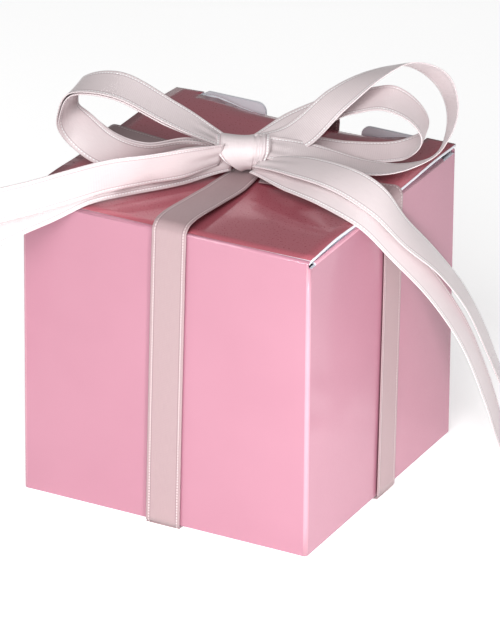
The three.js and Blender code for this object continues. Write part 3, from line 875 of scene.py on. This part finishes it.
# %% Lid
lid_front = -half_depth + board
lid_rear = half_depth
tuck_line = half_depth - 1.55 * MM
slit_half = 19.9 * MM
shoulder_slit = 20.2 * MM
tuck_bend_start = tuck_line - 3.4 * MM
tuck_bend_depth = 2.2 * MM
tuck_bend_half = 16.5 * MM
lid_steps = 24
lid_rim_steps = 3
lid_width_share = 0.996

# the lid's springing: its two rises in mm, and places from front to rear that run from 0 to 1
front_rise = 0.5
front_rise_place = 0.18
front_rise_reach = 0.13
rear_rise = 0.25
rear_rise_place = 0.85
rear_rise_reach = 0.12
left_droop = 0.8 * MM


def tuck_sag(x):
    """How far the lid's rear edge is drawn down where it turns into the tuck flap."""
    return tuck_bend_depth * max(0.0, 1 - (x / tuck_bend_half) ** 2)


def lid_lift(x, y):
    """How far the lid springs up from flat at a place."""
    side = abs(x) / half_width
    depth = (y + half_depth) / (2 * half_depth)
    front_bulge = front_rise * math.exp(-((depth - front_rise_place) / front_rise_reach) ** 2)
    rear_bulge = rear_rise * math.exp(-((depth - rear_rise_place) / rear_rise_reach) ** 2)
    droop = left_droop * side ** 2 * depth ** 4 if x < 0 else 0.0
    pulled = 2 * smooth_step(y - tuck_bend_start, 2 * (tuck_line - tuck_bend_start))
    return MM * side ** 3 * (front_bulge + rear_bulge) - droop - tuck_sag(x) * pulled


lid_columns = [half_width * (-1 + 2 * i / lid_steps) * lid_width_share for i in range(lid_steps + 1)]
lid_columns += [-shoulder_slit, -slit_half, slit_half, shoulder_slit]
lid_columns.sort()
lid_rows = [lid_front + (tuck_line - lid_front) * i / lid_steps for i in range(lid_steps + 1)]
lid_rows += [tuck_line + (lid_rear - tuck_line) * i / lid_rim_steps for i in range(1, lid_rim_steps + 1)]
lid_mesh = bmesh.new()
lid_grid = [[lid_mesh.verts.new((x, y, lid_top + lid_lift(x, y))) for x in lid_columns] for y in lid_rows]
for i in range(len(lid_rows) - 1):
    for j in range(len(lid_columns) - 1):
        middle_x = abs(lid_columns[j] + lid_columns[j + 1]) / 2
        if i >= lid_steps and middle_x < shoulder_slit:
            continue
        quad = lid_mesh.faces.new((lid_grid[i][j], lid_grid[i][j + 1],
                                   lid_grid[i + 1][j + 1], lid_grid[i + 1][j]))
        quad.smooth = True
loose = [vertex for vertex in lid_mesh.verts if not vertex.link_faces]
bmesh.ops.delete(lid_mesh, geom=loose, context="VERTS")
lid = mesh_piece("shade_painted_lid_board", lid_mesh)
finish_board(lid, ["lid_panel"], shade_painted_lid_board)
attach(lid, "lid")
print("lid sheet made")

# %% [markdown]
# A crease is where the board bends. Each is a narrow strip of the sheet that joins two panels, rounded on
# its outside.

# %% Creases
crease_thickness = board * 0.9
crease_inset = 0.1 * MM


def quarter_turn(corner, first, second):
    """Points of a quarter circle, from corner + first to corner + second."""
    points = []
    for i in range(turn_steps + 1):
        bend = math.pi / 2 * i / turn_steps
        points.append(tuple(c + a * math.cos(bend) + b * math.sin(bend)
                            for c, a, b in zip(corner, first, second)))
    return points


def make_crease(name, outline, sweep, ends, outside):
    """A bent strip: the outline's points, swept along the direction from one end to the other."""
    mesh = bmesh.new()
    rows = [[mesh.verts.new(Vector(point) + Vector(sweep) * end) for end in ends] for point in outline]
    for i in range(len(rows) - 1):
        quad = mesh.faces.new((rows[i][0], rows[i][1], rows[i + 1][1], rows[i + 1][0]))
        quad.smooth = True
    piece = mesh_piece(name, mesh)
    finish_board(piece, [], outside, thickness=crease_thickness)
    return piece


lid_crease = make_crease(
    "lid_crease_board",
    quarter_turn((0, -half_depth + board, lid_underside), (0, -board, 0), (0, 0, board)),
    (1, 0, 0), (-half_width + crease_inset, half_width - crease_inset), pink_board)
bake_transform(lid_crease)

dust_low, dust_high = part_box("dust_flap_right")
for side_name, side in (("left", -1), ("right", 1)):
    outline = quarter_turn((side * (half_width - board), 0, side_top), (side * board, 0, 0), (0, 0, board))
    dust_crease = make_crease(f"dust_crease_{side_name}_board", outline, (0, -side, 0),
                              (-side * dust_low[1], -side * dust_high[1]), crease_board)
    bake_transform(dust_crease)
print("creases made")

# %% [markdown]
# The tuck flap is the lid's last stretch. It curves down from the lid's rear edge and slides in along the
# inside of the back panel, with rounded lower corners. It is one sheet with its own crease, so it bends
# where it meets the lid.

# %% Tuck flap
tuck_half = 19 * MM
tuck_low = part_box("lid_tuck_flap")[0]
tuck_radius = 0.8 * MM
tuck_foot = tuck_low[2]
tuck_lean = math.tan(math.radians(12))
tuck_corner = 6 * MM
tuck_steps = 24
bend_reach = 0.5
tuck_columns = [tuck_half * (-1 + 2 * j / tuck_steps) for j in range(tuck_steps + 1)]
tuck_mesh = bmesh.new()
tuck_rows = []
for i in range(turn_steps + tuck_steps + 1):
    row = []
    for x in tuck_columns:
        top = lid_top - tuck_sag(x)
        if i <= turn_steps:
            bend = math.pi / 2 * i / turn_steps
            y = tuck_line + tuck_radius * math.sin(bend) * bend_reach
            z = top - tuck_radius * (1 - math.cos(bend))
        else:
            from_corner = max(0.0, abs(x) - (tuck_half - tuck_corner))
            foot = tuck_foot + tuck_corner - math.sqrt(max(0.0, tuck_corner ** 2 - from_corner ** 2))
            z = (top - tuck_radius) + (foot - top + tuck_radius) * (i - turn_steps) / tuck_steps
            y = tuck_line + tuck_radius * bend_reach - (top - tuck_radius - z) * tuck_lean
        row.append(tuck_mesh.verts.new((x, y, z)))
    tuck_rows.append(row)
for i in range(len(tuck_rows) - 1):
    for j in range(len(tuck_columns) - 1):
        quad = tuck_mesh.faces.new((tuck_rows[i][j], tuck_rows[i][j + 1],
                                    tuck_rows[i + 1][j + 1], tuck_rows[i + 1][j]))
        quad.smooth = True
bmesh.ops.recalc_face_normals(tuck_mesh, faces=tuck_mesh.faces)
if tuck_mesh.faces[:][-1].normal.y < 0:
    bmesh.ops.reverse_faces(tuck_mesh, faces=tuck_mesh.faces)
tuck_flap = mesh_piece("tuck_flap_board", tuck_mesh)
finish_board(tuck_flap, ["lid_tuck_flap"], shade_painted_lid_board)
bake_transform(tuck_flap)
print("tuck flap made")

# %% [markdown]
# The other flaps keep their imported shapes: flat pieces of bare white board, with their cut edges softened
# a little.

# %% Flaps
def dress(node_name):
    """Gives a packed flap the bare white board and takes the sharpness off its edges."""
    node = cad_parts[node_name]
    node.data.materials.clear()
    node.data.materials.append(white_board)
    soften = node.modifiers.new("cut edge", "BEVEL")
    soften.width = 0.06 * MM
    soften.segments = 2


for flap_name in ("glue_tab", "base_front_flap", "base_left_flap", "base_right_flap", "base_rear_flap",
                  "dust_flap_left", "dust_flap_right"):
    dress(flap_name)
print("flaps dressed")

# %% [markdown]
# The floor is pale and plain and glows softly, like a lit sweep table. It brightens the box's sides from
# below. One large soft panel stands high in front of the box. A very small one, low at the right, lights the
# near half of the right side. An even white sky fills the shadows.

# %% Floor and light
floor_material, floor_shader = start_material("pale_sweep_table")
floor_noise = add_node(floor_material, "ShaderNodeTexNoise", {"Scale": 3.0, "Detail": 2.0})
floor_colour = add_node(floor_material, "ShaderNodeMix", {
    0: floor_noise.outputs["Fac"], 6: linear("#f6f6f6"), 7: linear("#f2f2f2"),
}, data_type="RGBA")
join(floor_material, floor_colour.outputs[2], floor_shader.inputs["Base Color"])
floor_shader.inputs["Roughness"].default_value = 0.9
floor_shader.inputs["Emission Color"].default_value = (1, 1, 1, 1)
floor_shader.inputs["Emission Strength"].default_value = 0.45
floor_mesh = bmesh.new()
bmesh.ops.create_grid(floor_mesh, x_segments=2, y_segments=2, size=3)
floor = mesh_piece("floor", floor_mesh)
floor.data.materials.append(floor_material)


def add_panel(name, place, size, power, target, spread=180):
    """A soft square light that faces a target. A grid in front of it narrows its spread, in degrees."""
    light_data = bpy.data.lights.new(name, "AREA")
    light_data.shape = "SQUARE"
    light_data.size = size
    light_data.energy = power
    light_data.spread = math.radians(spread)
    light = bpy.data.objects.new(name, light_data)
    bpy.context.collection.objects.link(light)
    facing = (Vector(place) - Vector(target)).to_track_quat("Z", "Y")
    light.matrix_world = Matrix.Translation(place) @ facing.to_matrix().to_4x4()


box_middle = (0, 0, 0.03)
near_half_of_right = (0.0254, -0.022, 0.028)
add_panel("front_panel_light", (0.1, -0.44, 0.36), size=0.35, power=2.15, target=box_middle)
add_panel("right_panel_light", (0.15, -0.11, 0.03), size=0.03, power=0.018, target=near_half_of_right,
          spread=60)

world = bpy.data.worlds.new("studio")
bpy.context.scene.world = world
world.use_nodes = True
sky = world.node_tree.nodes["Background"]
sky.inputs["Color"].default_value = (1, 1, 1, 1)
sky.inputs["Strength"].default_value = 0.2
bpy.context.scene.view_settings.view_transform = "Standard"
bpy.context.scene.view_settings.look = "Medium High Contrast"
